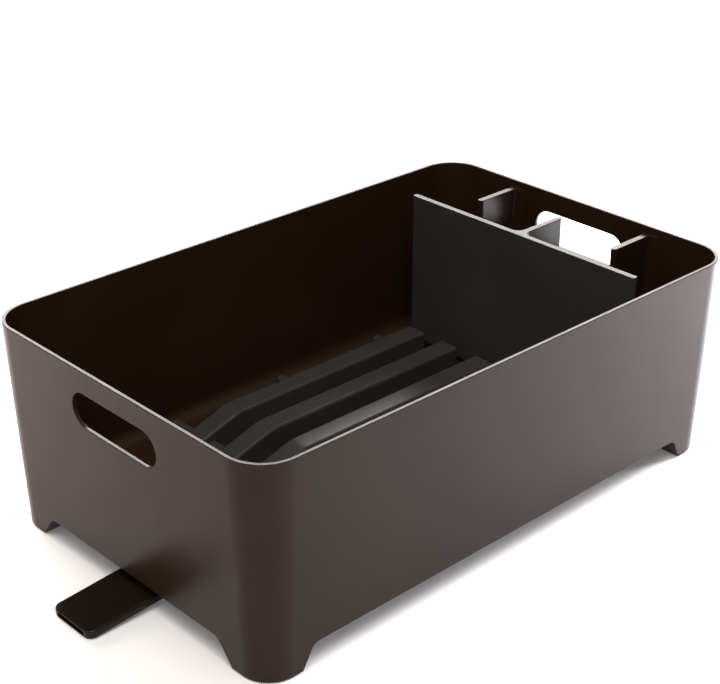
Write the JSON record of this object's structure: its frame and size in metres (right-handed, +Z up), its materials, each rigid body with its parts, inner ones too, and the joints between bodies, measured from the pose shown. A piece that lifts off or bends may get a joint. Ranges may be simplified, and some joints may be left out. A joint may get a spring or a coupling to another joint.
{
  "type": "dish drying rack",
  "caption": "Rounded plastic dish tub on corner legs with hand slots, lift-out plate rails, lift-out cutlery divider and a swivelling drain spout.",
  "frame": {"origin": "on the surface the rack stands on, under the middle of the footprint of tub and spout together", "axes": "+X along the tub from the spout end to the cutlery end, +Y across it, +Z up; the spout points towards -X"},
  "size_m": [0.5142, 0.296, 0.165],
  "materials": {
    "shell": "satin",
    "insert": "satin",
    "spout": "satin",
    "rubber": "matt",
    "steel": "brushed"
  },
  "bodies": {
    "tub": {"tub": "shell", "spout_seal": "rubber", "spout_washer": "steel", "spout_screw": "steel", "foot_pad_spout_left": "rubber", "foot_pad_spout_right": "rubber", "foot_pad_cutlery_left": "rubber", "foot_pad_cutlery_right": "rubber"},
    "spout": {"drain_spout": "spout"},
    "rack": {"plate_rack": "insert"},
    "divider": {"cutlery_divider": "insert"}
  },
  "joints": [
    {"name": "spout_swivel", "type": "hinge", "parent": "tub", "child": "spout", "pos_m": [-0.16786, 0, 0.016], "axis": [0, 0, 1], "range_deg": [-50, 50]},
    {"name": "rack_lift", "type": "slide", "parent": "tub", "child": "rack", "axis": [0, 0, 1], "range_m": [0, 0.15]},
    {"name": "divider_lift", "type": "slide", "parent": "tub", "child": "divider", "axis": [0, 0, 1], "range_m": [0, 0.15]}
  ]
}
